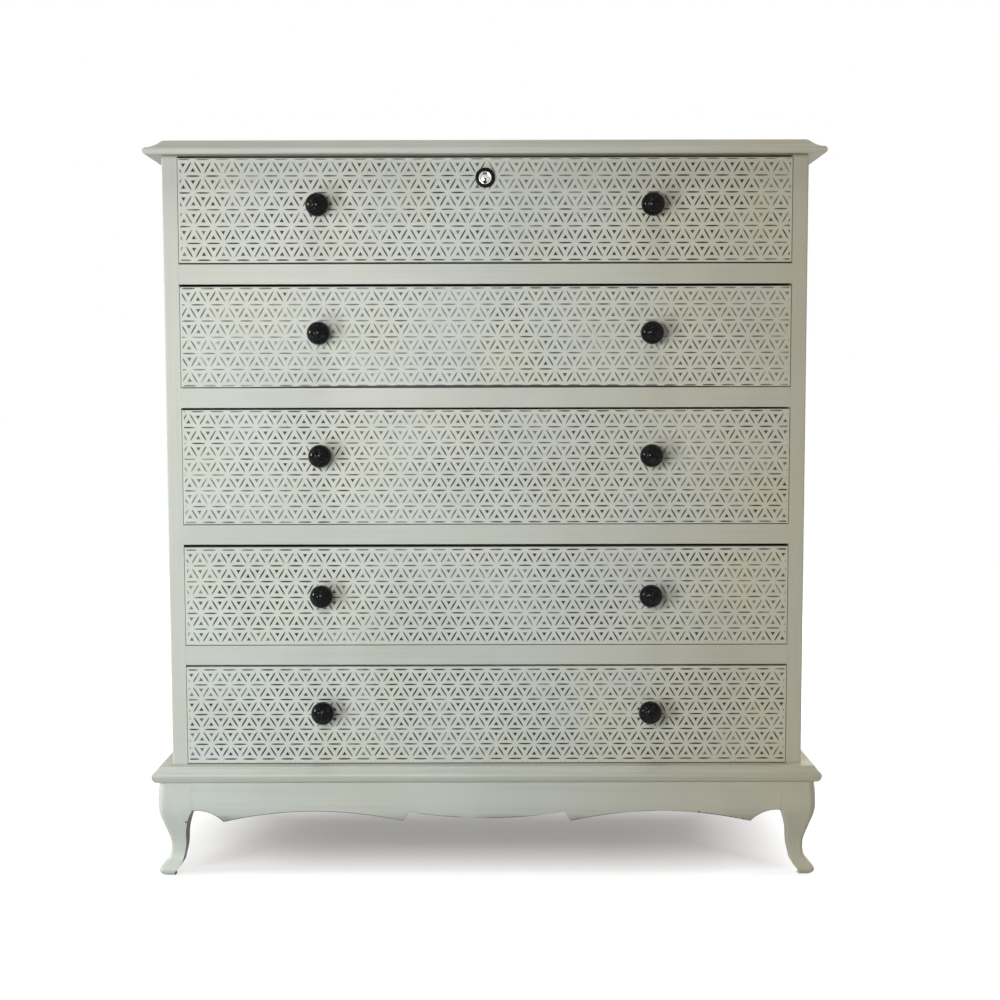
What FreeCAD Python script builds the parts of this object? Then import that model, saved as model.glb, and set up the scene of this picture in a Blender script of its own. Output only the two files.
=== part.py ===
import FreeCAD, Part
import math
import os

from FreeCAD import Vector

# Chest of five drawers: +Z up, the drawers open toward -Y, and the origin lies on the floor under
# the middle of the whole chest, its knobs included. All lengths are millimetres.

# Carcass
overall_height = 1081.0
body_width = 936.0
body_depth = 430.0
side_thickness = 22.5
side_edge_round = 2.0
back_thickness = 6.0
back_rebate_width = 12.0
back_clearance = 0.5
rail_height = 29.2
rail_depth = 60.0
rail_edge_round = 1.0
runner_width = 24.0
runner_height = 18.0
top_rail_thickness = 12.0
top_rail_depth = 70.0
top_rail_setback = 0.6
top_shadow_depth = 3.0

# Top board: its edge falls from the flat through a soft round, a shallow hollow and a full nose
top_thickness = 23.0
top_overhang = 22.0
top_flat_share = -0.21
top_edge_shares = (
    ((-0.05, 0.06), (0.07, 0.16)),
    ((0.39, 0.40), (0.75, 0.565)),
    ((1.00, 0.85), (0.89, 1.00)),
)

# Base moulding: a small arris, a shallow hollow, and a nose that turns far under
base_height = 24.0
base_overhang = 26.0
base_strip_seat = 12.0
base_flat_share = 0.62
base_edge_shares = (
    ((0.66, 0.03), (0.675, 0.10)),
    ((0.80, 0.27), (0.96, 0.40)),
    ((1.00, 0.52), (0.98, 0.67)),
    ((0.89, 0.88), (0.68, 1.00)),
)

# Cabriole legs: each row is height, outward flare and width, as shares of the three sizes below
leg_height = 141.4
knee_flare = 20.2
knee_width = 58.0
leg_block_inset = 32.0
leg_round_share = 0.20
leg_arris_share = 0.03
leg_section_shares = (
    (0.000, 0.45, 0.22),
    (0.022, 0.78, 0.32),
    (0.055, 0.93, 0.42),
    (0.088, 0.88, 0.475),
    (0.125, 0.64, 0.46),
    (0.170, 0.37, 0.395),
    (0.220, 0.235, 0.375),
    (0.290, 0.19, 0.39),
    (0.365, 0.24, 0.42),
    (0.440, 0.39, 0.48),
    (0.515, 0.565, 0.57),
    (0.570, 0.70, 0.65),
    (0.640, 0.87, 0.77),
    (0.700, 0.965, 0.88),
    (0.765, 1.00, 0.94),
    (0.825, 0.995, 0.955),
    (0.885, 0.975, 0.96),
    (0.943, 0.94, 0.96),
    (1.000, 0.90, 0.955),
)

# Aprons: places along the lower edge are shares of the half span, drops are shares of the depth
apron_depth = 60.0
apron_thickness = 24.0
apron_foot_share = 0.57
apron_spring_drop_share = 0.70
apron_ear_shares = ((0.945, 0.742), (0.897, 1.00))
apron_arch_drop_share = 0.715
apron_lobe_shares = (0.286, 0.985)
apron_notch_shares = (0.264, 0.735)
apron_bow_drop_share = 0.905
back_apron_height = 45.0
back_apron_thickness = 20.0
glue_block_length = 40.0
glue_block_thickness = 24.0
glue_block_height = 36.0

# Drawers, listed from the top one down: the fronts share the height that rails and gaps leave
drawer_height_shares = (0.1995, 0.1933, 0.2221, 0.1934, 0.1917)
drawer_front_thickness = 20.0
drawer_front_round = 1.0
drawer_top_gap = 2.8
drawer_bottom_gap = 1.0
drawer_side_gap = 0.5
drawer_rear_gap = 8.0
drawer_side_thickness = 12.0
drawer_side_drop = 20.0
drawer_back_thickness = 12.0
drawer_back_drop = 4.0
drawer_back_inset = 10.0
drawer_back_housing = 4.0
drawer_bottom_thickness = 5.0
groove_rise = 11.0
groove_depth = 6.0
groove_clearance = 0.3
tail_count = 3
tail_length = 13.0
tail_neck_share = 0.42
tail_end_share = 0.62

# Ball knobs and the screws that hold them
knob_spread = 482.0
knob_height_shares = (0.54, 0.53, 0.60, 0.51, 0.55)
knob_radius = 17.0
knob_projection = 38.0
knob_collar_radius = 9.0
knob_collar_thickness = 2.5
knob_neck_radius = 7.2
knob_throat_radius = 8.0
knob_bore_depth = 14.0
screw_radius = 2.0
screw_reach = 12.0
screw_head_radius = 4.5
screw_head_thickness = 3.0
screw_clearance = 0.2

# Cylinder lock in the top drawer, its cam lying level while the drawer is free
lock_drop = 29.0
lock_ring_radius = 14.3
lock_ring_thickness = 4.0
lock_ring_round = 1.8
lock_barrel_radius = 11.5
lock_barrel_rear = 12.0
lock_barrel_clearance = 0.2
lock_nut_sides = 6
lock_nut_across = 27.0
lock_nut_thickness = 6.0
lock_plug_radius = 9.8
lock_plug_clearance = 0.08
lock_plug_recess = 1.0
lock_plug_round = 0.6
lock_groove_radius = 7.0
lock_groove_width = 0.5
lock_groove_depth = 0.6
lock_end_gap = 0.3
lock_tail_width = 8.0
lock_cam_length = 27.0
lock_cam_width = 14.0
lock_cam_thickness = 2.5
lock_cam_clearance = 0.1
lock_pocket_clearance = 2.0
keyway_width = 2.2
keyway_drop = 0.6
keyway_length = 8.4
keyway_depth = 9.0
keyway_eye_radius = 2.3

overrun = 2.0

# Places worked out from the sizes
body_half = body_width / 2
front_y = (knob_projection - body_depth) / 2
back_y = front_y + body_depth
base_top = leg_height + base_height
body_top = overall_height - top_thickness
opening_half = body_half - side_thickness
drawer_count = len(drawer_height_shares)
drawer_gaps = drawer_top_gap + drawer_bottom_gap
drawer_room = body_top - base_top - rail_height * (drawer_count - 1) - drawer_gaps * drawer_count
drawer_front_heights = [drawer_room * share for share in drawer_height_shares]
opening_heights = [height + drawer_gaps for height in drawer_front_heights]
front_back_y = front_y + drawer_front_thickness
drawer_half = opening_half - drawer_side_gap
drawer_inner_half = drawer_half - drawer_side_thickness
drawer_end_y = back_y - back_thickness - drawer_rear_gap
drawer_back_y = drawer_end_y - drawer_back_inset
apron_end = body_half - leg_block_inset
leg_front_y = front_y + leg_block_inset
leg_back_y = back_y - leg_block_inset
lock_z = body_top - drawer_top_gap - lock_drop
lock_rear_y = front_back_y + lock_barrel_rear
cam_y = lock_rear_y + lock_end_gap


def opening_floor(index):
    """Height of the floor that drawer index, counted from the top, slides on."""
    below = opening_heights[index + 1:]
    return base_top + sum(below) + rail_height * len(below)


def block(x0, x1, y0, y1, z0, z1):
    """Box between two corners."""
    return Part.makeBox(x1 - x0, y1 - y0, z1 - z0, Vector(x0, y0, z0))


def rod(x, z, y0, y1, radius):
    """Cylinder along Y."""
    return Part.makeCylinder(radius, y1 - y0, Vector(x, y0, z), Vector(0, 1, 0))


def outline(start, steps):
    """Face inside a closed outline: a step is (end,) for a line and (middle, end) for an arc."""
    edges = []
    here = start
    for step in steps:
        end = step[-1]
        if len(step) == 2:
            edges.append(Part.Arc(here, step[0], end).toShape())
        else:
            edges.append(Part.LineSegment(here, end).toShape())
        here = end
    edges.append(Part.LineSegment(here, start).toShape())
    return Part.Face(Part.Wire(edges))


def mirrored(shape):
    """The same shape on the other side of the chest."""
    return shape.mirror(Vector(0, 0, 0), Vector(1, 0, 0))


def edges_on_front(shape, y):
    """Edges that lie in the plane at y."""
    return [edge for edge in shape.Edges if all(abs(v.Y - y) < overrun / 100 for v in edge.Vertexes)]


def save(name, *solids):
    """Write one node, as a group where it has several solids."""
    shape = solids[0] if len(solids) == 1 else Part.makeCompound(list(solids))
    shape.exportStep(os.path.join("parts", name + ".step"))


def moulded_slab(top, thickness, overhang, flat_share, arc_shares):
    """Board with one moulded edge along its front and both ends, mitred at the corners."""

    def section(place, back_reach):
        steps = [(place(flat_share * overhang, 0),)]
        for arc in arc_shares:
            steps.append(tuple(place(out * overhang, down * thickness) for out, down in arc))
        steps.append((place(-back_reach, thickness),))
        return outline(place(-back_reach, 0), steps)

    full_half = body_half + overhang
    along = section(lambda out, down: Vector(-full_half, front_y - out, top - down), body_depth)
    board = along.extrude(Vector(full_half * 2, 0, 0))
    across = section(lambda out, down: Vector(body_half + out, front_y - overhang, top - down),
                     body_width + overhang)
    end_cut = across.extrude(Vector(0, body_depth + overhang, 0))
    return board.common(end_cut).common(mirrored(end_cut)).removeSplitter()


def base_parts():
    """Bottom board with the moulding strips mitred round its front and sides."""
    slab = moulded_slab(base_top, base_height, base_overhang, base_flat_share, base_edge_shares)
    seat_half = body_half - base_strip_seat
    seat_y = front_y + base_strip_seat
    board = block(-seat_half, seat_half, seat_y, back_y, leg_height, base_top)
    strips = slab.cut(board)
    nose_half = body_half + base_overhang
    nose_y = front_y - base_overhang
    corners = [(-nose_half, nose_y), (nose_half, nose_y), (seat_half, seat_y), (-seat_half, seat_y)]
    points = [Vector(x, y, leg_height) for x, y in corners]
    mitre = outline(points[0], [(point,) for point in points[1:]]).extrude(Vector(0, 0, base_height))
    front = strips.common(mitre)
    ends = strips.cut(mitre)
    left = ends.common(block(-nose_half, 0, nose_y, back_y, leg_height, base_top))
    save("bottom_board", board)
    save("base_moulding_front", front.Solids[0])
    save("base_moulding_left", left.Solids[0])
    save("base_moulding_right", mirrored(left.Solids[0]))


def leg_section(centre, width, at_front):
    """Flat square wire with one soft corner, on the outside of the leg, and three crisp ones."""
    soft = (1, -1) if at_front else (1, 1)
    arcs = []
    for turn, side in enumerate(((1, 1), (-1, 1), (-1, -1), (1, -1))):
        corner = width * (leg_round_share if side == soft else leg_arris_share)
        inner = width / 2 - corner
        middle = centre + Vector(inner * side[0], inner * side[1], 0)
        angles = [math.pi / 2 * (turn + part / 2) for part in range(3)]
        arcs.append([middle + Vector(math.cos(a), math.sin(a), 0) * corner for a in angles])
    edges = []
    for arc, following in zip(arcs, arcs[1:] + arcs[:1]):
        edges.append(Part.Arc(*arc).toShape())
        edges.append(Part.LineSegment(arc[2], following[0]).toShape())
    return Part.Wire(edges)


def leg(at_front):
    """Right-hand cabriole leg; a rear one flares sideways only, so that the back stays flat."""
    wires = []
    for height_share, flare_share, width_share in leg_section_shares:
        flare = knee_flare * flare_share
        width = knee_width * width_share
        x = body_half + flare - width / 2
        y = front_y - flare + width / 2 if at_front else back_y - width / 2
        wires.append(leg_section(Vector(x, y, leg_height * height_share), width, at_front))
    solid = Part.makeLoft(wires, True, False)
    inner_x = body_half - knee_width
    solid = solid.cut(block(inner_x, apron_end, front_y - knee_width, back_y + knee_width, 0, leg_height))
    if at_front:
        inner = (leg_front_y, front_y + knee_width)
    else:
        inner = (back_y - knee_width - overrun, leg_back_y)
    return solid.cut(block(inner_x, body_half + knee_width, *inner, 0, leg_height)).Solids[0]


def apron_section(place):
    """Upright section of an apron, with the swell of the knees on its face."""
    rows = [row for row in leg_section_shares if row[0] >= apron_foot_share]
    points = [place(knee_flare * flare, leg_height * (1 - height)) for height, flare, width in rows]
    back = knee_flare - apron_thickness
    corners = [points[-1], place(back, 0), place(back, leg_height * (1 - rows[0][0])), points[0]]
    swell = Part.BSplineCurve()
    swell.interpolate(points)
    edges = [swell.toShape()]
    for here, following in zip(corners, corners[1:]):
        edges.append(Part.LineSegment(here, following).toShape())
    return Part.Face(Part.Wire(edges))


def apron_outline(place, half_span, lobed):
    """Scalloped apron: an ear by each leg, shallow arches and, if lobed, a bow between two lobes."""

    def spot(shares, side=1):
        along, drop = shares
        return place(along * half_span * side, drop * apron_depth)

    ear, cusp = apron_ear_shares
    spring = (1, apron_spring_drop_share)
    steps = [(spot(spring),), (spot(ear), spot(cusp))]
    if lobed:
        arch = ((apron_lobe_shares[0] + cusp[0]) / 2, apron_arch_drop_share)
        steps.append((spot(arch), spot(apron_lobe_shares)))
        steps.append((spot(apron_notch_shares),))
        steps.append((spot((0, apron_bow_drop_share)), spot(apron_notch_shares, -1)))
        steps.append((spot(apron_lobe_shares, -1),))
        steps.append((spot(arch, -1), spot(cusp, -1)))
    else:
        steps.append((spot((0, apron_arch_drop_share)), spot(cusp, -1)))
    steps.append((spot(ear, -1), spot(spring, -1)))
    steps.append((spot((1, 0), -1),))
    return outline(spot((1, 0)), steps)


def apron_parts():
    """Front and side aprons shaped both ways, a plain back apron and the glue blocks."""
    front_face = apron_section(lambda out, down: Vector(-apron_end, front_y - out, leg_height - down))
    front_cut = apron_outline(lambda x, down: Vector(x, front_y - knee_flare, leg_height - down),
                              apron_end, True)
    front = front_face.extrude(Vector(apron_end * 2, 0, 0))
    front = front.common(front_cut.extrude(Vector(0, knee_flare + apron_thickness, 0)))
    save("front_apron", front.Solids[0])

    middle_y = (leg_front_y + leg_back_y) / 2
    side_half = (leg_back_y - leg_front_y) / 2
    side_face = apron_section(lambda out, down: Vector(body_half + out, leg_front_y, leg_height - down))
    side_cut = apron_outline(lambda y, down: Vector(apron_end, middle_y + y, leg_height - down),
                             side_half, False)
    side = side_face.extrude(Vector(0, side_half * 2, 0))
    side = side.common(side_cut.extrude(Vector(leg_block_inset + knee_flare, 0, 0)))
    save("right_apron", side.Solids[0])
    save("left_apron", mirrored(side.Solids[0]))

    back_face_y = back_y - back_apron_thickness
    save("back_apron", block(-apron_end, apron_end, back_face_y, back_y,
                             leg_height - back_apron_height, leg_height))

    blocks = []
    behind_front = front_y - knee_flare + apron_thickness
    behind_side = body_half + knee_flare - apron_thickness
    floor = leg_height - glue_block_height
    inner_x = apron_end - glue_block_length
    blocks.append(block(inner_x, apron_end, behind_front, behind_front + glue_block_thickness,
                        floor, leg_height))
    blocks.append(block(inner_x, apron_end, back_face_y - glue_block_thickness, back_face_y,
                        floor, leg_height))
    for start in (leg_front_y, leg_back_y - glue_block_length):
        blocks.append(block(behind_side - glue_block_thickness, behind_side, start,
                            start + glue_block_length, floor, leg_height))
    save("glue_blocks", *blocks, *[mirrored(solid) for solid in blocks])


def carcass_parts():
    """Top, sides, back, rails and runners."""
    save("top_board", moulded_slab(body_top + top_thickness, top_thickness, top_overhang,
                                   top_flat_share, top_edge_shares))

    side = block(opening_half, body_half, front_y, back_y, base_top, body_top)
    corner = [edge for edge in edges_on_front(side, front_y)
              if all(v.X > opening_half for v in edge.Vertexes)]
    side = side.makeFillet(side_edge_round, corner)
    rebate_x = opening_half + back_rebate_width
    panel_y = back_y - back_thickness
    side = side.cut(block(opening_half, rebate_x, panel_y, back_y, base_top, body_top))
    side = side.cut(block(opening_half, body_half, front_y, front_y + top_shadow_depth,
                          body_top - drawer_top_gap, body_top))
    save("right_side_panel", side.Solids[0])
    save("left_side_panel", mirrored(side.Solids[0]))
    panel_half = rebate_x - back_clearance
    save("back_panel", block(-panel_half, panel_half, panel_y, back_y, base_top, body_top))

    rails = []
    runners = []
    for index in range(drawer_count - 1):
        top = opening_floor(index)
        rail = block(-opening_half, opening_half, front_y, front_y + rail_depth, top - rail_height, top)
        face_edges = [edge for edge in edges_on_front(rail, front_y) if edge.BoundBox.XLength > rail_height]
        rails.append(rail.makeFillet(rail_edge_round, face_edges))
        runner = block(opening_half - runner_width, opening_half, front_y + rail_depth, panel_y,
                       top - runner_height, top)
        runners.append(runner)
        runners.append(mirrored(runner))
    save("drawer_rails", *rails)
    save("drawer_runners", *runners)

    rail_z = body_top - top_rail_thickness
    rail_y = front_back_y + top_rail_setback
    front_rail = block(-opening_half, opening_half, rail_y, rail_y + top_rail_depth, rail_z, body_top)
    pocket_half = lock_cam_length + lock_pocket_clearance
    pocket = block(-pocket_half, pocket_half, cam_y - lock_pocket_clearance,
                   cam_y + lock_cam_thickness + lock_pocket_clearance, rail_z, body_top)
    save("top_front_rail", front_rail.cut(pocket))
    save("top_back_rail", block(-opening_half, opening_half, panel_y - top_rail_depth, panel_y,
                                rail_z, body_top))


def leg_parts():
    """Four legs, named as the viewer in front sees them."""
    for row, at_front in (("front", True), ("back", False)):
        solid = leg(at_front)
        save(row + "_right_leg", solid)
        save(row + "_left_leg", mirrored(solid))


def tails(side_floor, side_height):
    """Dovetails on the front end of a right-hand drawer side, as one list of prisms."""
    pitch = side_height / tail_count
    prisms = []
    for count in range(tail_count):
        middle = side_floor + pitch * (count + 0.5)
        neck = pitch * tail_neck_share / 2
        end = pitch * tail_end_share / 2
        end_y = front_back_y - tail_length
        corners = [(front_back_y, -neck), (end_y, -end), (end_y, end), (front_back_y, neck)]
        points = [Vector(drawer_inner_half, y, middle + rise) for y, rise in corners]
        face = outline(points[0], [(point,) for point in points[1:]])
        prisms.append(face.extrude(Vector(drawer_side_thickness, 0, 0)))
    return prisms


def knob(x, z):
    """Turned ball knob on a collar, bored for its screw."""

    def place(radius, out):
        return Vector(x + radius, front_y - out, z)

    bore = screw_radius + screw_clearance
    centre = knob_projection - knob_radius
    throat = centre - math.sqrt(knob_radius ** 2 - knob_throat_radius ** 2)
    neck = (knob_collar_thickness + throat) / 2
    face = outline(place(bore, 0), [
        (place(knob_collar_radius, 0),),
        (place(knob_collar_radius, knob_collar_thickness),),
        (place(knob_neck_radius, neck), place(knob_throat_radius, throat)),
        (place(knob_radius, centre), place(0, knob_projection)),
        (place(0, knob_bore_depth),),
        (place(bore, knob_bore_depth),),
    ])
    return face.revolve(Vector(x, 0, z), Vector(0, 1, 0), 360)


def knob_screw(x, z):
    """Screw from inside the drawer into a knob."""
    shank = rod(x, z, front_y - screw_reach, front_back_y, screw_radius)
    head = rod(x, z, front_back_y, front_back_y + screw_head_thickness, screw_head_radius)
    return shank.fuse(head).removeSplitter().Solids[0]


def drawer_parts(index):
    """One drawer: lapped dovetails at the front, a housed back and a bottom let into grooves."""
    name = "drawer_" + str(index + 1) + "_"
    floor = opening_floor(index)
    front_floor = floor + drawer_bottom_gap
    front_height = drawer_front_heights[index]
    side_height = front_height - drawer_side_drop
    groove_z = floor + groove_rise
    groove_top = groove_z + drawer_bottom_thickness + groove_clearance
    board_top = groove_z + drawer_bottom_thickness
    groove_half = drawer_inner_half + groove_depth
    housing_half = drawer_inner_half + drawer_back_housing
    right_tails = tails(floor, side_height)
    knob_z = front_floor + front_height * knob_height_shares[index]
    knob_places = [(-knob_spread / 2, knob_z), (knob_spread / 2, knob_z)]

    front = block(-drawer_half, drawer_half, front_y, front_back_y, front_floor, front_floor + front_height)
    front = front.makeFillet(drawer_front_round, edges_on_front(front, front_y))
    for tail in right_tails:
        front = front.cut(tail).cut(mirrored(tail))
    front = front.cut(block(-groove_half, groove_half, front_back_y - groove_depth, front_back_y,
                            groove_z, groove_top))
    for x, z in knob_places:
        front = front.cut(rod(x, z, front_y, front_back_y, screw_radius + screw_clearance))
    if index == 0:
        front = front.cut(rod(0, lock_z, front_y, front_back_y, lock_barrel_radius + lock_barrel_clearance))
    save(name + "front", front.Solids[0])

    side = block(drawer_inner_half, drawer_half, front_back_y, drawer_end_y, floor, floor + side_height)
    side = side.multiFuse(right_tails).removeSplitter()
    side = side.cut(block(drawer_inner_half, groove_half, front_back_y - tail_length, drawer_end_y,
                          groove_z, groove_top))
    side = side.cut(block(drawer_inner_half, housing_half, drawer_back_y - drawer_back_thickness,
                          drawer_back_y, board_top, floor + side_height))
    save(name + "right_side", side.Solids[0])
    save(name + "left_side", mirrored(side.Solids[0]))

    save(name + "back", block(-housing_half, housing_half, drawer_back_y - drawer_back_thickness,
                              drawer_back_y, board_top, floor + side_height - drawer_back_drop))
    board_half = groove_half - groove_clearance
    save(name + "bottom", block(-board_half, board_half, front_back_y - groove_depth + groove_clearance,
                                drawer_end_y, groove_z, board_top))
    save(name + "knobs", *[knob(x, z) for x, z in knob_places])
    save(name + "knob_screws", *[knob_screw(x, z) for x, z in knob_places])


def lock_parts():
    """Cylinder lock: ringed barrel, nut, turning plug with its keyway, and the cam on its tail."""

    def place(radius, back):
        return Vector(radius, front_y + back, lock_z)

    bore = lock_plug_radius + lock_plug_clearance
    barrel_end = drawer_front_thickness + lock_barrel_rear
    ring_edge = lock_ring_round * (1 - math.sqrt(0.5))
    housing = outline(place(bore, -lock_ring_thickness), [
        (place(lock_ring_radius - lock_ring_round, -lock_ring_thickness),),
        (place(lock_ring_radius - ring_edge, ring_edge - lock_ring_thickness),
         place(lock_ring_radius, lock_ring_round - lock_ring_thickness)),
        (place(lock_ring_radius, 0),),
        (place(lock_barrel_radius, 0),),
        (place(lock_barrel_radius, barrel_end),),
        (place(bore, barrel_end),),
    ])
    save("lock_housing", housing.revolve(Vector(0, 0, lock_z), Vector(0, 1, 0), 360))

    step = math.pi * 2 / lock_nut_sides
    corner = lock_nut_across / 2 / math.cos(step / 2)
    turns = [step * count for count in range(lock_nut_sides)]
    points = [Vector(corner * math.cos(a), front_back_y, lock_z + corner * math.sin(a)) for a in turns]
    nut = outline(points[0], [(point,) for point in points[1:]]).extrude(Vector(0, lock_nut_thickness, 0))
    hole = rod(0, lock_z, front_back_y, front_back_y + lock_nut_thickness,
               lock_barrel_radius + lock_barrel_clearance)
    save("lock_nut", nut.cut(hole))

    face_y = front_y - lock_ring_thickness + lock_plug_recess
    tail_half = lock_tail_width / 2
    plug = rod(0, lock_z, face_y, cam_y, lock_plug_radius)
    plug = plug.makeFillet(lock_plug_round, edges_on_front(plug, face_y))
    groove = rod(0, lock_z, face_y, face_y + lock_groove_depth, lock_groove_radius + lock_groove_width)
    groove = groove.cut(rod(0, lock_z, face_y, face_y + lock_groove_depth, lock_groove_radius))
    tail = block(-tail_half, tail_half, cam_y, cam_y + lock_cam_thickness, lock_z - tail_half,
                 lock_z + tail_half)
    key_half = keyway_width / 2
    key_top = lock_z - keyway_drop
    key_floor = key_top - keyway_length
    eye_z = key_floor + keyway_eye_radius
    slot = block(-key_half, key_half, face_y, face_y + keyway_depth, eye_z, key_top)
    eye = rod(0, eye_z, face_y, face_y + keyway_depth, keyway_eye_radius)
    save("lock_plug", plug.fuse(tail).removeSplitter().cut(groove).cut(slot.fuse(eye)).Solids[0])

    cam_half = lock_cam_width / 2
    straight = lock_cam_length - cam_half
    cam = block(0, straight, cam_y, cam_y + lock_cam_thickness, lock_z - cam_half, lock_z + cam_half)
    for x in (0, straight):
        cam = cam.fuse(rod(x, lock_z, cam_y, cam_y + lock_cam_thickness, cam_half))
    hole_half = tail_half + lock_cam_clearance
    hole = block(-hole_half, hole_half, cam_y, cam_y + lock_cam_thickness, lock_z - hole_half,
                 lock_z + hole_half)
    save("lock_cam", cam.removeSplitter().cut(hole).Solids[0])


os.makedirs("parts", exist_ok=True)
carcass_parts()
base_parts()
apron_parts()
leg_parts()
for drawer_index in range(drawer_count):
    drawer_parts(drawer_index)
lock_parts()
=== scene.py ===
import math

import bpy
from mathutils import Matrix, Vector


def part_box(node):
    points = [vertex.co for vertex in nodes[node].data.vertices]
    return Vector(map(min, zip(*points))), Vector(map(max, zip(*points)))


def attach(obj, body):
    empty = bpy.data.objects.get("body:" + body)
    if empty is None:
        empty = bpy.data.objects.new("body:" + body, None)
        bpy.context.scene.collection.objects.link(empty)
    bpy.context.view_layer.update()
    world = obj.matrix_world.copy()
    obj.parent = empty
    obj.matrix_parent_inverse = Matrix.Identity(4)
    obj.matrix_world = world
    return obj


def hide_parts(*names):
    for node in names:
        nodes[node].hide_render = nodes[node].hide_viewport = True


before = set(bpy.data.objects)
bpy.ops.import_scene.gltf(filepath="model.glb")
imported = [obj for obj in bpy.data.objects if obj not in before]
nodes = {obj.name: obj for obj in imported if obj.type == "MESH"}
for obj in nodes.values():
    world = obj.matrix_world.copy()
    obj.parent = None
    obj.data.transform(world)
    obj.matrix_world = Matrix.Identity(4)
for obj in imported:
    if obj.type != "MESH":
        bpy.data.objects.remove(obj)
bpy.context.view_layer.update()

# Sizes are metres; the chest stands on z = 0 and its drawers open toward -Y
MM = 0.001
drawer_numbers = range(1, 6)
front_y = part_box("drawer_1_front")[0].y
front_back_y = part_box("drawer_1_front")[1].y


def tint(red, green, blue):
    """Linear colour from the 0 to 255 numbers of a paint chart."""
    parts = [part / 255 for part in (red, green, blue)]
    linear = [part / 12.92 if part < 0.04 else ((part + 0.055) / 1.055) ** 2.4 for part in parts]
    return (*linear, 1.0)


# Colours of the finishes
sage = tint(201, 203, 195)
sage_warm = tint(201, 202, 188)
sage_cool = tint(199, 203, 200)
sage_deep = tint(178, 180, 170)
# Painted warm light, multiplied into the paint toward the right end
warm_light_tint = tint(255, 247, 231)
stencil_ink = tint(32, 31, 23)
# Bare undercoat of chips and worn edges and the dark line on lower edges, also laid as painted shade on the
# top board's underside
undercoat_and_shade = tint(84, 80, 70)
# Painted shade on the inner face of the front left leg
painted_leg_shade = tint(22, 21, 19)
# Colour of the painted shadow in the gaps beside the drawers
gap_shadow_colour = tint(20, 19, 17)
pine_pale = tint(216, 190, 150)
pine_late = tint(184, 145, 100)
ply_pale = tint(200, 186, 160)
ply_late = tint(178, 158, 127)
lacquer_black = tint(3, 3, 4)
dust_grey = tint(66, 67, 70)
enamel_black = tint(7, 7, 7)
enamel_dull = tint(26, 26, 26)
tarnish = tint(96, 82, 76)
# Painted shadow inside the lock's keyway
keyway_shadow_black = tint(12, 12, 12)
chrome_grey = tint(208, 208, 206)
chrome_dull = tint(190, 190, 188)
steel_grey = tint(186, 186, 182)
steel_dull = tint(140, 140, 136)
nail_grey = tint(120, 116, 110)
white = (1.0, 1.0, 1.0, 1.0)

# Facings
upward = (0.0, 0.0, 1.0)
downward = (0.0, 0.0, -1.0)
to_right = (1.0, 0.0, 0.0)


class Shade:
    """One socket of a finish: sums on it add Math nodes, and node() adds any other node."""

    def __init__(self, tree, socket=None):
        self.tree = tree
        self.socket = socket

    def node(self, kind, settings=None, inputs=None, output=0):
        made = self.tree.nodes.new("ShaderNode" + kind)
        for name, value in (settings or {}).items():
            setattr(made, name, value)
        for name, value in (inputs or {}).items():
            if isinstance(value, Shade):
                self.tree.links.new(value.socket, made.inputs[name])
            else:
                made.inputs[name].default_value = value
        return Shade(self.tree, made.outputs[output] if made.outputs else None)

    def beside(self, output):
        return Shade(self.tree, self.socket.node.outputs[output])

    def maths(self, operation, *values):
        return self.node("Math", {"operation": operation}, dict(enumerate(values)))

    def __add__(self, other):
        return self.maths("ADD", self, other)

    def __sub__(self, other):
        return self.maths("SUBTRACT", self, other)

    def __rsub__(self, other):
        return self.maths("SUBTRACT", other, self)

    def __mul__(self, other):
        return self.maths("MULTIPLY", self, other)

    def __truediv__(self, other):
        return self.maths("DIVIDE", self, other)

    def __abs__(self):
        return self.maths("ABSOLUTE", self)

    __radd__ = __add__

    def nearest(self):
        return self.maths("ROUND", self)

    def part(self):
        return self.maths("FRACT", self)

    def least(self, other):
        return self.maths("MINIMUM", self, other)

    def most(self, other):
        return self.maths("MAXIMUM", self, other)

    def over(self, other):
        return self.maths("GREATER_THAN", self, other)

    def sine(self):
        return self.maths("SINE", self)

    def ramp(self, low, high):
        """0 below low, 1 above high, and smooth between."""
        settings = {"interpolation_type": "SMOOTHSTEP"}
        return self.node("MapRange", settings, {"Value": self, "From Min": low, "From Max": high})

    def mix(self, first, second, way="MIX"):
        """A colour, first where this value is 0 and second, or its product with first, where it is 1."""
        return self.node("Mix", {"data_type": "RGBA", "blend_type": way}, {0: self, 6: first, 7: second}, 2)

    def stretched(self, *amounts):
        return self.node("VectorMath", {"operation": "MULTIPLY"}, {0: self, 1: amounts})

    def coordinates(self):
        """The x, y and z of a position."""
        x = self.node("SeparateXYZ", None, {0: self})
        return x, x.beside(1), x.beside(2)

    def noise(self, scale, detail=2.0, roughness=0.5):
        inputs = {"Vector": self, "Scale": scale, "Detail": detail, "Roughness": roughness}
        return self.node("TexNoise", None, inputs)


def finish(name, mixture, **constants):
    """A finish from mixture(position), which gives the shader's varying inputs and a height in metres."""
    material = bpy.data.materials.new(name)
    material.use_nodes = True
    material.node_tree.nodes.clear()
    start = Shade(material.node_tree)
    inputs, height = mixture(start.node("TexCoord", output="Object"))
    if height is not None:
        inputs["Normal"] = start.node("Bump", None, {"Height": height, "Distance": 1.0, "Strength": 1.0})
    shader = start.node("BsdfPrincipled", None, {**constants, **inputs})
    start.node("OutputMaterial", None, {"Surface": shader})
    return material


def along_axis(axis, along, across):
    """Stretch for a pattern that runs along one axis."""
    return [along if name == axis else across for name in "xyz"]


def facing(here, direction, normal=None):
    """How far the surface, or another normal, faces a direction, from -1 to 1."""
    normal = normal or here.node("NewGeometry", output="Normal")
    return here.node("VectorMath", {"operation": "DOT_PRODUCT"}, {0: normal, 1: direction}, "Value")


def eased_normal(here, reach):
    """The surface's direction, turned toward its neighbours' within reach of an edge."""
    return here.node("Bevel", {"samples": 8}, {"Radius": reach})


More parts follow.
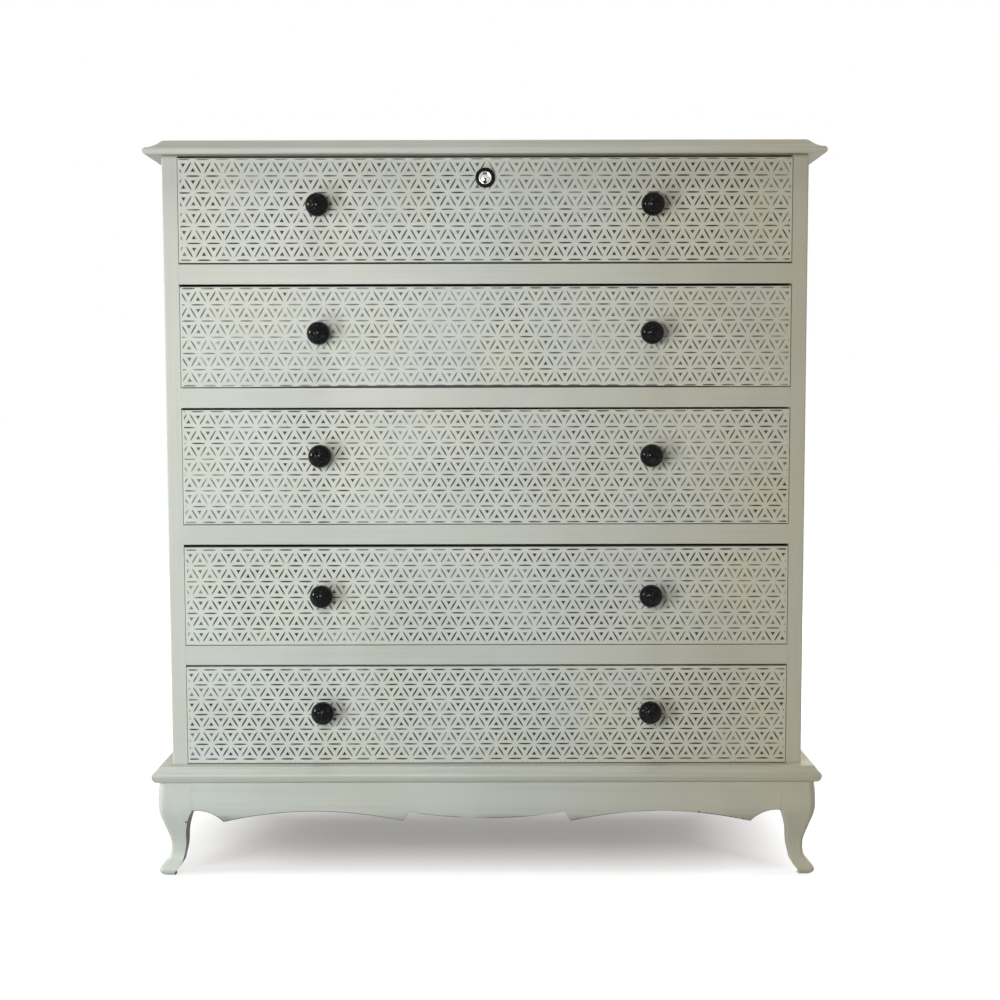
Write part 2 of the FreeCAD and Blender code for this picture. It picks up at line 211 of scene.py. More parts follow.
# Sage paint: the scales of its patches and brush strokes, and what they add to its shade, gloss and height
cloud_scale = 3.2
patch_scale = 9.0
shade_scale = 5.2
speck_scale = 420.0
stroke_along = 5.0
stroke_across = 210.0
patch_shade = 0.22
speck_shade = 0.10
front_roughness = 0.40
stroke_roughness = 0.16
patch_roughness = 0.06
stroke_height = 0.05 * MM
speck_height = 0.012 * MM

# The carcass is a little glossier than the drawer fronts; a coat's bend is its index of refraction
carcass_gloss = 0.10
carcass_bend = 1.45
front_bend = 1.42

# Painted warm light: the paint is tinted warmer and a little darker toward the right end, where warmer light
# falls
warm_light_from_to = (0.05, 0.50)


def sage_coat(here, axis, streaks=0.16, darkening=0.0):
    """Colour, roughness and height of brushed sage paint, brushed along an axis and across its ends."""
    cloud = here.noise(cloud_scale, 2.0)
    patch = here.noise(patch_scale, 3.0)
    strokes = here.stretched(*along_axis(axis, stroke_along, stroke_across)).noise(1.0, 3.0)
    if axis == "x":
        ends = abs(facing(here, to_right)).ramp(0.5, 0.7)
        turned_strokes = here.stretched(*along_axis("y", stroke_along, stroke_across)).noise(1.0, 3.0)
        strokes = strokes * (1 - ends) + turned_strokes * ends
    speck = here.noise(speck_scale, 1.0)
    colour = cloud.ramp(0.35, 0.65).mix(sage_cool, sage)
    colour = patch.ramp(0.40, 0.80).mix(colour, sage_warm)
    # darkening makes the whole piece's paint darker by a fixed share
    shade = strokes.ramp(0.42, 0.74) * streaks + speck.ramp(0.6, 0.8) * speck_shade + darkening
    shade = shade + here.noise(shade_scale, 3.0).ramp(0.44, 0.64) * patch_shade
    colour = shade.least(1.0).mix(colour, sage_deep)
    x, _, _ = here.coordinates()
    # Painted warm light toward the right end
    colour = x.ramp(*warm_light_from_to).mix(colour, warm_light_tint, "MULTIPLY")
    roughness = front_roughness + strokes * stroke_roughness + patch * patch_roughness
    height = strokes * stroke_height + speck * speck_height
    return colour, roughness, height


# Chips and worn edges in the paint, a dark line on lower edges, and the blur and share of painted shade
chip_scale = 330.0
chip_start = 0.30
chip_blur = 0.08
chip_depth = 0.25 * MM
edge_reach = 2.4 * MM
edge_wear = 0.30
edge_scale = 90.0
edge_turn = (0.04, 0.20)
lower_edge_turn = (0.20, 0.42)
lower_line_scale = 14.0
lower_line_least = 0.2
shade_face_blur = 0.15
gap_shadow_share = 0.9


def chips(here, places):
    """1 on small chips near places, each given as x, z and reach."""
    x, _, z = here.coordinates()
    ragged = here.noise(chip_scale, 3.0, 0.6)
    marks = 0.0
    for place_x, place_z, reach in places:
        apart = (x - place_x) * (x - place_x) + (z - place_z) * (z - place_z)
        marks = (ragged - chip_start - apart / (reach * reach)).ramp(0.0, chip_blur).most(marks)
    return marks


def sage_paint(name, axis, places=(), streaks=0.16, darkening=0.34, painted_shade=(), lower_line=0.0):
    """Satin sage paint, brushed along an axis, worn on its edges and chipped at a few places.

    Each shade entry is a facing, how far at least the surface turns to it, a share and a painted shade
    colour;
    lower_line is the share of a dark line on a lower edge.
    """

    def mixture(here):
        colour, roughness, height = sage_coat(here, axis, streaks, darkening)
        if places:
            bare = chips(here, places)
            colour = bare.mix(colour, undercoat_and_shade)
            height = height - bare * chip_depth
        eased = eased_normal(here, edge_reach)
        turn = 1 - facing(here, here.node("NewGeometry", output="Normal"), eased)
        wear_and_lower_line = turn.ramp(*edge_turn) * here.noise(edge_scale, 3.0, 0.6).ramp(0.42, 0.62) * edge_wear
        # A dark line along lower edges, joined with the worn edges
        if lower_line:
            broken = here.noise(lower_line_scale, 2.0).ramp(0.34, 0.52)
            broken = broken * (1 - lower_line_least) + lower_line_least
            lower = facing(here, downward, eased).ramp(*lower_edge_turn)
            wear_and_lower_line = wear_and_lower_line.most(lower * broken * lower_line)
        colour = wear_and_lower_line.mix(colour, undercoat_and_shade)
        # Painted shade on faces turned a given way, such as a leg's inner side or the top's underside
        for direction, least, share, stain_and_shade in painted_shade:
            turned_to = facing(here, direction).ramp(least, least + shade_face_blur)
            colour = (turned_to * share).mix(colour, stain_and_shade)
        return {"Base Color": colour, "Roughness": roughness - carcass_gloss}, height

    return finish(name, mixture, **{"IOR": carcass_bend})


# Faces of the rails that carry painted shadow from the gaps: the drawer beside each and the way the face
# looks
shadowed_rail_faces = [(1, upward), (2, downward), (2, upward), (4, downward)]
rail_band = 4.0 * MM
level_enough = 0.80


def rail_paint():
    """Sage paint of the rails between the drawers, with painted shadow on the faces next to the darkest gaps.
    """

    def mixture(here):
        colour, roughness, height = sage_coat(here, "x", darkening=0.50)
        _, _, z = here.coordinates()
        # Painted shadow on the rail faces beside the darkest gaps
        for number, direction in shadowed_rail_faces:
            low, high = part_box(f"drawer_{number}_front")
            level = high.z if direction == downward else low.z
            near = abs(z - level).ramp(rail_band * 1.2, rail_band)
            turned_to = facing(here, direction).ramp(level_enough, level_enough + shade_face_blur)
            colour = (turned_to * near * gap_shadow_share).mix(colour, gap_shadow_colour)
        return {"Base Color": colour, "Roughness": roughness - carcass_gloss}, height

    return finish("sage_paint_rails", mixture, **{"IOR": carcass_bend})


# Stencil: each drawer has its own pitch, row height, first line below the top edge, shift and strength
stencil_pitches = [28.35 * MM, 28.10 * MM, 28.19 * MM, 28.20 * MM, 28.25 * MM]
stencil_rows = [24.1 * MM, 23.5 * MM, 23.25 * MM, 23.5 * MM, 22.4 * MM]
stencil_drops = [1.5 * MM, 2.95 * MM, 2.25 * MM, 5.0 * MM, 4.3 * MM]
stencil_shifts = [2.75 * MM, 3.2 * MM, 15.6 * MM, 0.9 * MM, 0.0]
stencil_strengths = [1.06, 0.88, 0.98, 1.06, 1.14]
dash_width = 1.08 * MM
level_reach = 0.36
slanted_reach = 0.33
mark_blur = 0.40 * MM
triangle_core = 0.256
triangle_blur = 0.016


def stencil_marks(x, z, pitch, row, first_line, shift):
    """1 on a lens on each side of every lattice triangle and on a small triangle in its middle."""
    column = (x - shift) / pitch
    level = (z - first_line) / row

    def lens(distance, place, reach):
        """1 on a dash with pointed ends: distance is from its line, and place and reach run along it."""
        share = (place / reach) * (place / reach)
        return ((1 - share * share) * dash_width - distance).ramp(-mark_blur, mark_blur)

    line = level.nearest()
    marks = lens(abs(level - line) * row, (column - line * 0.5).part() - 0.5, level_reach)
    slope = pitch * math.sin(math.radians(60))
    for lean in (0.5, -0.5):
        tilted = column - level * lean
        offset = tilted - tilted.nearest()
        marks = marks.most(lens(abs(offset) * slope, level.part() - 0.5 + offset * lean, slanted_reach))
    rise = level.part()
    run = (column - level * 0.5).part()
    upper = (rise + run).over(1.0)
    lower_core = rise.least(run).least(1 - rise - run)
    upper_core = (1 - rise).least(1 - run).least(rise + run - 1)
    core = lower_core.most(upper_core * upper)
    return marks.most(core.ramp(triangle_core - triangle_blur, triangle_core + triangle_blur))


# Painted shadow in a drawer's gaps: its width in mm at the ends of the upper or lower edge, and its gain in
# the middle
gap_shadow_widths = {
    1: {"lower": (1.1, 0.8)},
    2: {"upper": (1.0, 0.0), "lower": (0.1, 2.7)},
    4: {"upper": (1.2, 0.2)},
    5: {"lower": (0.1, 0.0)},
}
gap_shadow_half_span = 0.36
gap_shadow_blur = 0.1 * MM


def gap_shadow_line(number, x, z, low, high):
    """1 on the painted shadow line along a drawer's upper or lower edge, 0 elsewhere."""
    middle = (1 - (x / gap_shadow_half_span) * (x / gap_shadow_half_span)).most(0.0)
    marks = 0.0
    for edge, (ends, gain) in gap_shadow_widths[number].items():
        depth = high.z - z if edge == "upper" else z - low.z
        width = middle * (gain * MM) + ends * MM
        marks = (width - depth).ramp(-gap_shadow_blur, gap_shadow_blur).most(marks)
    return marks


# Print on a drawer's face: its bare margins, how much of it remains, its depth and the grime over it
stencil_margin = 3.0 * MM
stencil_border = 1.2 * MM
face_skin = (0.6 * MM, 0.3 * MM)
inner_skin = (-1.2 * MM, -0.9 * MM)
ink_least = 0.53
ink_patches = 0.28
ink_patch_scale = 6.0
ink_spots = 0.28
ink_spot_scale = 52.0
ink_depth = 0.12 * MM
face_grime = 0.22
face_grime_scale = 640.0


def stencilled_paint(number):
    """Sage paint with the dark lattice on a drawer's face, and bare pine on its inner side."""
    low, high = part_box(f"drawer_{number}_front")
    pitch = stencil_pitches[number - 1]
    row = stencil_rows[number - 1]
    first_line = high.z - stencil_drops[number - 1]
    shift = stencil_shifts[number - 1]
    strength = stencil_strengths[number - 1]

    def mixture(here):
        x, y, z = here.coordinates()
        colour, roughness, height = sage_coat(here, "x")
        marks = stencil_marks(x, z, pitch, row, first_line, shift)
        inside = (high.x - stencil_margin - abs(x)).ramp(0.0, mark_blur)
        inside = inside * (high.z - stencil_border - z).ramp(0.0, mark_blur)
        inside = inside * (z - low.z - stencil_border).ramp(0.0, mark_blur)
        face = (y - front_y).ramp(*face_skin)
        remains = here.noise(ink_patch_scale, 2.0).ramp(0.36, 0.62) * ink_patches
        remains = remains + here.noise(ink_spot_scale, 2.0).ramp(0.32, 0.62) * ink_spots + ink_least
        ink = marks * inside * face * remains * strength
        grime = here.noise(face_grime_scale, 3.0, 0.7).ramp(0.50, 0.80) * face * face_grime
        painted = ink.most(grime).least(1.0).mix(colour, stencil_ink)
        # Painted shadow along the gaps at the drawer's upper and lower edges
        if number in gap_shadow_widths:
            painted = (gap_shadow_line(number, x, z, low, high) * gap_shadow_share).mix(painted, gap_shadow_colour)
        inner = (y - front_back_y).ramp(*inner_skin)
        pine_colour, pine_roughness, _ = pine_grain(here, "x", "z", pine_pale, pine_late)
        colour = inner.mix(painted, pine_colour)
        roughness = roughness * (1 - inner) + pine_roughness * inner
        return {"Base Color": colour, "Roughness": roughness}, height - ink * ink_depth

    return finish(f"stencilled_paint_{number}", mixture, **{"IOR": front_bend})


# Planed wood: how close its rings lie, how far they wander, and what rings and fibres add to shade and gloss
ring_count = 46.0
ring_wander = 9.0
ring_shade = 0.62
ring_along = 1.1
ring_across = 7.0
fibre_along = 14.0
fibre_across = 900.0
fibre_shade = 0.30
wood_roughness = 0.56
fibre_roughness = 0.16
fibre_height = 0.05 * MM


def pine_grain(here, axis, across, pale, late, rings=ring_count, contrast=1.0):
    """Colour, roughness and height of planed softwood: growth rings cut along the board."""
    width = dict(zip("xyz", here.coordinates()))[across]
    wander = here.stretched(*along_axis(axis, ring_along, ring_across)).noise(1.0, 2.0)
    ring = ((width * rings + wander * ring_wander) * math.pi).sine() * 0.5 + 0.5
    fibre = here.stretched(*along_axis(axis, fibre_along, fibre_across)).noise(1.0, 2.0)
    figure = ring * ring * ring * (ring_shade * contrast) + fibre.ramp(0.42, 0.75) * fibre_shade
    return figure.mix(pale, late), wood_roughness + fibre * fibre_roughness, fibre * fibre_height


def bare_wood(name, axis, across, pale, late, rings=ring_count):
    """Unpainted wood with its grain along an axis."""

    def mixture(here):
        colour, roughness, height = pine_grain(here, axis, across, pale, late, rings)
        return {"Base Color": colour, "Roughness": roughness}, height

    return finish(name, mixture)


# Nails of the back panel, in a row inside each edge
nail_inset = 6.5 * MM
nail_pitch = 110.0 * MM
nail_radius = 2.1 * MM
nail_gloss = 0.25
nail_metal = 0.8
nail_sink = 0.2 * MM


def nailed_ply():
    """Plywood back panel with a row of nail heads along each edge."""
    low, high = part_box("back_panel")
    middle_z = (low.z + high.z) / 2
    head = nail_radius * nail_radius

    def from_nail(aside, along):
        """Squared distance from a row's nearest nail."""
        step = ((along / nail_pitch).part() - 0.5) * nail_pitch
        return aside * aside + step * step

    def mixture(here):
        colour, roughness, height = pine_grain(here, "x", "z", ply_pale, ply_late, 20.0, 0.6)
        x, _, z = here.coordinates()
        upright = from_nail(abs(x) - (high.x - nail_inset), z)
        level = from_nail(abs(z - middle_z) - (high.z - middle_z - nail_inset), x)
        nail = upright.least(level).ramp(head, head * 0.7)
        colour = nail.mix(colour, nail_grey)
        roughness = roughness - nail * nail_gloss
        values = {"Base Color": colour, "Roughness": roughness, "Metallic": nail * nail_metal}
        return values, height - nail * nail_sink

    return finish("nailed_ply", mixture)


# Lacquer of the knobs, and scuffs on the metals
bloom_scale = 260.0
bloom_share = 0.6
bloom_roughness = 0.07
lacquer_roughness = 0.05
lacquer_bend = 1.20
ripple_scale = 120.0
ripple_height = 0.012 * MM
scuff_share = 0.5
scuff_roughness = 0.12
scuff_height = 0.01 * MM


def knob_lacquer():
    """Gloss black lacquer with a faint dusty bloom."""

    def mixture(here):
        bloom = here.noise(bloom_scale, 4.0, 0.65)
        ripple = here.noise(ripple_scale, 1.0)
        colour = (bloom.ramp(0.50, 0.74) * bloom_share).mix(lacquer_black, dust_grey)
        roughness = lacquer_roughness + bloom * bloom_roughness
        return {"Base Color": colour, "Roughness": roughness}, ripple * ripple_height

    return finish("knob_lacquer", mixture, **{"IOR": lacquer_bend})


def plain_metal(name, colour, dull, roughness, scale, metallic=1.0, bend=1.5):
    """Metal or enamel with fine scuffs."""

    def mixture(here):
        scuff = here.noise(scale, 4.0, 0.6)
        tone = (scuff.ramp(0.45, 0.75) * scuff_share).mix(colour, dull)
        return {"Base Color": tone, "Roughness": roughness + scuff * scuff_roughness}, scuff * scuff_height

    return finish(name, mixture, **{"Metallic": metallic, "IOR": bend})


# Chrome of the lock: its gloss, the tarnish above the keyway and the depth past which the keyway is painted
# black as painted shadow
chrome_roughness = 0.10
chrome_scuff_scale = 700.0
chrome_scuff_roughness = 0.14
chrome_scuff_height = 0.006 * MM
tarnish_half_width = 4.3 * MM
tarnish_half_height = 2.5 * MM
tarnish_rise = 6.2 * MM
tarnish_rag = 1.2 * MM
tarnish_share = 0.9
tarnish_roughness = 0.25
keyway_shadow_skin = (0.9 * MM, 1.3 * MM)


def lock_chrome(face_y, middle_z):
    """Polished chrome, tarnished above the keyway, with painted shadow inside the keyway: black and not
    metal.
    """

    def mixture(here):
        x, y, z = here.coordinates()
        scuff = here.noise(chrome_scuff_scale, 4.0, 0.6)
        tone = (scuff.ramp(0.45, 0.75) * scuff_share).mix(chrome_grey, chrome_dull)
        stain_and_shade = (tarnish_half_width - abs(x) - scuff * tarnish_rag).ramp(0.0, 0.8 * MM)
        stain_and_shade = stain_and_shade * (tarnish_half_height - abs(z - middle_z - tarnish_rise)).ramp(0.0, 0.6 * MM)
        tone = (stain_and_shade * tarnish_share).mix(tone, tarnish)
        # Painted shadow: black and not metal inside the keyway
        inside = (y - face_y).ramp(*keyway_shadow_skin)
        colour = inside.mix(tone, keyway_shadow_black)
        roughness = chrome_roughness + scuff * chrome_scuff_roughness + stain_and_shade * tarnish_roughness
        values = {"Base Color": colour, "Roughness": roughness, "Metallic": 1 - inside}
        return values, scuff * chrome_scuff_height

    return finish("lock_chrome", mixture)


# Edges of turned pieces that turn less than this are smooth
smooth_angle = math.radians(34)


def select_only(*pieces):
    """Select these pieces and nothing else."""
    bpy.ops.object.select_all(action="DESELECT")
    for piece in pieces:
        piece.select_set(True)
    bpy.context.view_layer.objects.active = pieces[0]


def turned(name, middle, profile, steps):
    """Piece turned about an axis along Y: profile lists radius and place along the axis, back to front."""
    bpy.ops.object.select_all(action="DESELECT")
    bpy.ops.mesh.primitive_plane_add(size=MM, location=middle)
    piece = bpy.context.object
    piece.name = name
    bpy.ops.object.mode_set(mode="EDIT")
    bpy.ops.mesh.merge(type="CENTER")
    bpy.ops.transform.translate(value=(profile[0][0], profile[0][1], 0.0))
    here = profile[0]
    for place in profile[1:]:
        step = (place[0] - here[0], place[1] - here[1], 0.0)
        bpy.ops.mesh.extrude_vertices_move(TRANSFORM_OT_translate={"value": step})
        here = place
    bpy.ops.mesh.select_all(action="SELECT")
    bpy.ops.mesh.spin(steps=steps, angle=math.tau, center=middle, axis=(0.0, 1.0, 0.0))
    bpy.ops.mesh.select_all(action="SELECT")
    bpy.ops.mesh.remove_doubles(threshold=0.01 * MM)
    bpy.ops.mesh.normals_make_consistent(inside=False)
    bpy.ops.object.mode_set(mode="OBJECT")
    bpy.ops.object.transform_apply(location=True, rotation=True, scale=True)
    bpy.ops.object.shade_smooth_by_angle(angle=smooth_angle)
    return piece


def moved_copy(piece, name, shift):
    """Copy of a piece with its own mesh, moved by shift."""
    select_only(piece)
    bpy.ops.object.duplicate()
    bpy.ops.transform.translate(value=shift)
    bpy.ops.object.transform_apply(location=True, rotation=False, scale=False)
    copy = bpy.context.object
    copy.name = name
    return copy


def cut_out(piece, cutter):
    """Cut one piece out of another and throw it away."""
    select_only(piece)
    bpy.ops.object.modifier_add(type="BOOLEAN")
    cut = piece.modifiers[-1]
    cut.operation = "DIFFERENCE"
    cut.solver = "EXACT"
    cut.object = cutter
    bpy.ops.object.modifier_apply(modifier=cut.name)
    select_only(cutter)
    bpy.ops.object.delete()


def box_piece(name, low, high):
    """Small block between two corners."""
    bpy.ops.object.select_all(action="DESELECT")
    middle = [(a + b) / 2 for a, b in zip(low, high)]
    bpy.ops.mesh.primitive_cube_add(size=1.0, location=middle)
    piece = bpy.context.object
    piece.name = name
    bpy.ops.transform.resize(value=[b - a for a, b in zip(low, high)])
    bpy.ops.object.transform_apply(location=True, rotation=True, scale=True)
    return piece


# Ball knob: places are in front of the drawer's face, and the ball starts some degrees off its axis
ball_radius = 17.0 * MM
ball_centre = 21.0 * MM
ball_start = 28.2
ball_steps = 28
knob_steps = 64

# Radius and place of each ring of the knob's back, in mm
knob_back = [(0.0, 14.0), (2.2, 14.0), (2.2, 0.0), (8.6, 0.0), (8.95, 0.15), (9.0, 0.5), (9.0, 2.0),
             (8.85, 2.4), (8.3, 2.6), (7.6, 3.0), (7.25, 3.6), (7.2, 4.3), (7.35, 5.0), (7.7, 5.6)]


def copy_pairs(pattern, right, node, name):
    """Copy a piece to its two places on each drawer in place of a CAD node, and throw the pattern away."""
    for number in drawer_numbers:
        low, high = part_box(f"drawer_{number}_{node}")
        rise = (low.z + high.z) / 2 - right[2]
        first = moved_copy(pattern, f"drawer_{number}_{name}", (0.0, 0.0, rise))
        second = moved_copy(pattern, "second_of_pair", (-2.0 * right[0], 0.0, rise))
        select_only(first, second)
        bpy.ops.object.join()
        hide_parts(f"drawer_{number}_{node}")
        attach(first, f"drawer_{number}")
    select_only(pattern)
    bpy.ops.object.delete()


def knobs(lacquer):
    """One turned knob, copied to its ten places, a pair to each drawer."""
    low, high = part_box("drawer_1_knobs")
    right = (high.x - ball_radius, front_y, (low.z + high.z) / 2)
    profile = [(radius * MM, -out * MM) for radius, out in knob_back]
    for count in range(ball_steps + 1):
        angle = math.radians(ball_start + (180.0 - ball_start) * count / ball_steps)
        profile.append((ball_radius * math.sin(angle), ball_radius * math.cos(angle) - ball_centre))
    pattern = turned("knob_pattern", right, profile, knob_steps)
    pattern.data.materials.append(lacquer)
    copy_pairs(pattern, right, "knobs", "turned_knobs")


# Knob screw: a domed head with a cross recess; radii and places behind the drawer's inner side, in mm
screw_head = [(0.0, 3.0), (1.4, 2.95), (2.7, 2.65), (3.7, 2.1), (4.3, 1.3), (4.5, 0.5), (4.5, 0.0),
              (2.0, 0.0)]
screw_head_radius = 4.5 * MM
shank_radius = 2.0 * MM
tip_radius = 1.2 * MM
screw_steps = 32
recess_half = (2.6 * MM, 0.55 * MM)
recess_depth = 1.5 * MM


def screws(steel):
    """One knob screw, copied to its ten places, a pair to each drawer."""
    low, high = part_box("drawer_1_knob_screws")
    right = (high.x - screw_head_radius, front_back_y, (low.z + high.z) / 2)
    tip = low.y - front_back_y
    profile = [(radius * MM, back * MM) for radius, back in screw_head]
    profile += [(shank_radius, tip + MM), (tip_radius, tip), (0.0, tip)]
    pattern = turned("screw_pattern", right, profile, screw_steps)
    for wide, tall in (recess_half, recess_half[::-1]):
        recess_low = (right[0] - wide, high.y - recess_depth, right[2] - tall)
        recess_high = (right[0] + wide, high.y + MM, right[2] + tall)
        cut_out(pattern, box_piece("recess", recess_low, recess_high))
    pattern.data.materials.clear()
    pattern.data.materials.append(steel)
    copy_pairs(pattern, right, "knob_screws", "cross_screws")


# Lock plug: a rim, a groove and a domed middle; radii and places behind its face, in mm
plug_profile = [(9.8, 0.9), (9.65, 0.4), (9.25, 0.12), (8.5, 0.0), (7.6, 0.06), (7.15, 0.3), (6.95, 0.75),
                (6.55, 0.8), (6.25, 0.35), (5.7, 0.02), (4.4, -0.24), (2.8, -0.42), (1.2, -0.5),
                (0.0, -0.52)]
plug_radius = 9.8 * MM
plug_steps = 72
tail_half = 4.0 * MM
cam_thickness = 2.5 * MM

# Keyway: a slot below the plug's middle with a round eye at its foot
keyway_half = 1.35 * MM
keyway_top = 0.6 * MM
keyway_foot = 6.2 * MM
keyway_eye = 2.75 * MM
eye_drop = 6.1 * MM
eye_steps = 24
keyway_depth = 9.0 * MM


def lock_plug():
    """Plug of the lock with its keyway and its square tail."""
    low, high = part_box("lock_plug")
    middle_z = (low.z + high.z) / 2
    face_y = low.y
    tail_y = high.y - cam_thickness
    profile = [(0.0, tail_y - face_y), (plug_radius, tail_y - face_y)]
    profile += [(radius * MM, back * MM) for radius, back in plug_profile]
    plug = turned("lock_plug_face", (0.0, face_y, middle_z), profile, plug_steps)
    ahead = face_y - 2.0 * MM
    slot_low = (-keyway_half, ahead, middle_z - keyway_foot)
    slot_high = (keyway_half, face_y + keyway_depth, middle_z - keyway_top)
    cut_out(plug, box_piece("key_slot", slot_low, slot_high))
    eye_depth = face_y + keyway_depth - ahead
    eye = [(0.0, eye_depth), (keyway_eye, eye_depth), (keyway_eye, 0.0), (0.0, 0.0)]
    cut_out(plug, turned("key_eye", (0.0, ahead, middle_z - eye_drop), eye, eye_steps))
    tail_low = (-tail_half, tail_y - MM, middle_z - tail_half)
    tail = box_piece("plug_tail", tail_low, (tail_half, high.y, middle_z + tail_half))
    select_only(plug, tail)
    bpy.ops.object.join()
    bpy.ops.object.shade_smooth_by_angle(angle=smooth_angle)
    plug.data.materials.clear()
    plug.data.materials.append(lock_chrome(face_y, middle_z))
    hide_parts("lock_plug")
    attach(plug, "lock")


def give(node, material):
    """Assign a finish to a CAD node."""
    mesh = nodes[node].data
    mesh.materials.clear()
    mesh.materials.append(material)


# Chips in the paint: x, z and reach
apron_chips = [
    (0.314, 0.0965, 3.6 * MM), (0.325, 0.0945, 4.4 * MM), (0.3315, 0.0932, 4.0 * MM),
    (0.338, 0.0922, 5.0 * MM), (0.345, 0.0910, 4.4 * MM), (0.353, 0.0898, 5.0 * MM),
    (0.362, 0.0883, 4.2 * MM), (0.369, 0.0872, 4.0 * MM), (0.381, 0.0852, 3.4 * MM),
]
leg_chips = [(-0.4465, 0.081, 4.0 * MM)]


def dress_carcass():
    """Finishes of the carcass."""
    level = sage_paint("sage_paint_level", "x", streaks=0.70, darkening=0.68)
    apron = sage_paint("sage_paint_apron", "x", apron_chips, lower_line=0.95)
    upright = sage_paint("sage_paint_upright", "z", leg_chips)
    # Painted shade on the inner face of the front left leg
    left_leg = sage_paint("sage_paint_left_leg", "z", leg_chips, painted_shade=[(to_right, 0.50, 1.0, painted_leg_shade)])
    deep = sage_paint("sage_paint_deep", "y")
    # Painted shade on the top board's underside
    shade_under_top = [(downward, level_enough, 0.5, undercoat_and_shade)]
    top = sage_paint("sage_paint_top", "x", streaks=0.50, painted_shade=shade_under_top)
    ends = sage_paint("sage_paint_ends", "z", darkening=0.50)
    give("top_board", top)
    give("drawer_rails", rail_paint())
    give("base_moulding_front", level)
    give("front_apron", apron)
    for node in ("left_side_panel", "right_side_panel"):
        give(node, ends)
    for node in ("base_moulding_left", "base_moulding_right", "left_apron", "right_apron"):
        give(node, deep)
    give("front_left_leg", left_leg)
    for node in ("front_right_leg", "back_left_leg", "back_right_leg"):
        give(node, upright)
    pine_level = bare_wood("pine_level", "x", "z", pine_pale, pine_late)
    pine_flat = bare_wood("pine_flat", "x", "y", pine_pale, pine_late, 30.0)
    pine_deep = bare_wood("pine_deep", "y", "z", pine_pale, pine_late)
    for node in ("back_apron", "glue_blocks"):
        give(node, pine_level)
    for node in ("top_front_rail", "top_back_rail", "bottom_board"):
        give(node, pine_flat)
    give("drawer_runners", pine_deep)
    give("back_panel", nailed_ply())
    return pine_level, pine_deep


def dress_drawers(pine_level, pine_deep):
    """Finishes of the drawers and the lock."""
    ply_flat = bare_wood("plywood_flat", "x", "y", ply_pale, ply_late, 14.0)
    lacquer = knob_lacquer()
    steel = plain_metal("plated_steel", steel_grey, steel_dull, 0.26, 300.0)
    for number in drawer_numbers:
        name = f"drawer_{number}_"
        give(name + "front", stencilled_paint(number))
        give(name + "left_side", pine_deep)
        give(name + "right_side", pine_deep)
        give(name + "back", pine_level)
        give(name + "bottom", ply_flat)
    knobs(lacquer)
    screws(steel)
    enamel = plain_metal("black_enamel", enamel_black, enamel_dull, 0.20, 400.0, metallic=0.0, bend=1.2)
    give("lock_housing", enamel)
    lock_plug()
    give("lock_nut", steel)
    give("lock_cam", steel)


# Room: a white floor with the lamps' shadow and a painted shadow where its glow drops near the chest, a pale
# sky and soft lamps, those on the front from the left
floor_size = 60.0
painted_shadow_glow = 0.28
floor_white = 0.35
painted_shadow_reach = (0.47, 0.20)
painted_shadow_fade = (-0.16, 0.10)
sky = (0.03, 0.025, 0.015, 1.0)
soft_light = (1.0, 0.97, 0.93)
cool_light = (0.96, 0.97, 1.0)
floor_light = (0.83, 0.95, 1.0)
plain_light = (1.0, 0.99, 0.97)

# Camera at the photograph's place
camera_place = (0.0205, front_y - 2.1336, 0.7202)
camera_lens = 52.4
camera_sensor = 36.0
camera_tilt = math.radians(90 - 4.32)
camera_roll = math.radians(-0.12)


def seen_directly(start):
    """1 for what the camera, a mirror or glass sees, 0 for the light that falls on things."""
    camera = start.node("LightPath", output="Is Camera Ray")
    return camera.most(camera.beside("Is Glossy Ray")).most(camera.beside("Is Transmission Ray"))


def white_floor():
    """Wide floor whose colour is white to the eye, with the lamps' shadow of the chest on it, deepened by a
    painted shadow where the glow drops near the chest.
    """
    bpy.ops.object.select_all(action="DESELECT")
    bpy.ops.mesh.primitive_plane_add(size=floor_size, location=(0.0, 0.0, 0.0))
    floor = bpy.context.object
    floor.name = "floor"
    material = bpy.data.materials.new("white_floor")
    material.use_nodes = True
    material.node_tree.nodes.clear()
    start = Shade(material.node_tree)
    here = start.node("TexCoord", output="Object")
    x, y, _ = here.coordinates()
    away = (abs(x) - painted_shadow_reach[0]).most(abs(y) - painted_shadow_reach[1])
    pale = (floor_white, floor_white, floor_white, 1.0)
    lit = start.node("BsdfDiffuse", None, {"Color": pale})
    # Painted shadow: the glow is weaker around the chest's footprint
    strength = away.ramp(*painted_shadow_fade) * (1.0 - painted_shadow_glow) + painted_shadow_glow
    glow = start.node("Emission", None, {"Color": white, "Strength": strength})
    bright = start.node("AddShader", None, {0: lit, 1: glow})
    shader = start.node("MixShader", None, {0: seen_directly(start), 1: lit, 2: bright})
    start.node("OutputMaterial", None, {"Surface": shader})
    floor.data.materials.append(material)


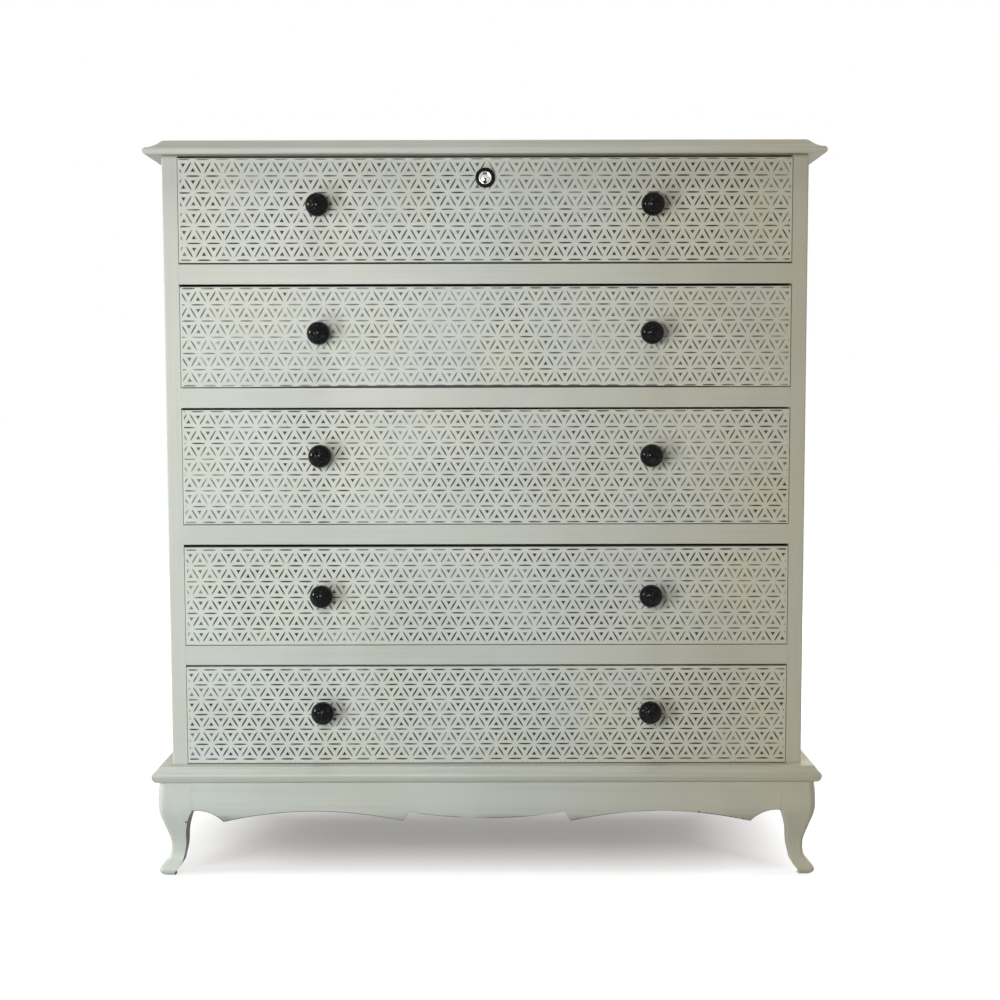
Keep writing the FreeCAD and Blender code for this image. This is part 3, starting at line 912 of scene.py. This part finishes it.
def pale_sky():
    """World that is white to the eye and lights the chest faintly."""
    world = bpy.data.worlds.new("pale_sky")
    bpy.context.scene.world = world
    world.use_nodes = True
    world.node_tree.nodes.clear()
    start = Shade(world.node_tree)
    colour = seen_directly(start).mix(sky, white)
    background = start.node("Background", None, {"Color": colour, "Strength": 1.0})
    start.node("OutputWorld", None, {"Surface": background})


def lamp(name, place, target, size, power, colour, mirrored=True):
    """Square soft lamp aimed at a point; gloss shows it only if it is mirrored."""
    bpy.ops.object.light_add(type="AREA", location=place)
    light = bpy.context.object
    light.name = name
    light.data.shape = "SQUARE"
    light.data.size = size
    light.data.energy = power
    light.data.color = colour
    light.rotation_euler = (Vector(target) - Vector(place)).to_track_quat("-Z", "Y").to_euler()
    light.visible_camera = False
    light.visible_glossy = mirrored


def room():
    """Floor, sky, lamps and the camera at the photograph's place."""
    white_floor()
    pale_sky()
    middle = (0.0, front_y, 0.6)
    centre = (0.0, 0.0, 0.6)
    lamp("near_window", (-0.36, -1.60, 0.86), middle, 0.34, 9.0, soft_light)
    lamp("far_window", (-1.70, -2.10, 0.80), middle, 0.50, 13.2, cool_light)
    lamp("floor_bounce", (-1.10, -1.50, 0.12), (-0.3, front_y, 0.20), 0.40, 11.0, floor_light, False)
    lamp("side_window", (-2.5, -0.25, 1.10), centre, 0.50, 30.0, plain_light)
    lamp("right_window", (2.6, 0.9, 1.30), centre, 0.90, 46.0, plain_light, False)
    lamp("back_window", (0.9, 2.9, 1.70), centre, 1.20, 60.0, plain_light, False)
    lamp("roof_window", (-0.1, -0.75, 2.80), centre, 0.90, 15.0, plain_light, False)
    scene = bpy.context.scene
    scene.view_settings.view_transform = "Standard"
    bpy.ops.object.camera_add(location=camera_place)
    camera = bpy.context.object
    camera.data.lens = camera_lens
    camera.data.sensor_width = camera_sensor
    tilt = Matrix.Rotation(camera_tilt, 4, "X")
    roll = Matrix.Rotation(camera_roll, 4, "Z")
    camera.rotation_euler = (tilt @ roll).to_euler()
    scene.camera = camera


dress_drawers(*dress_carcass())
room()
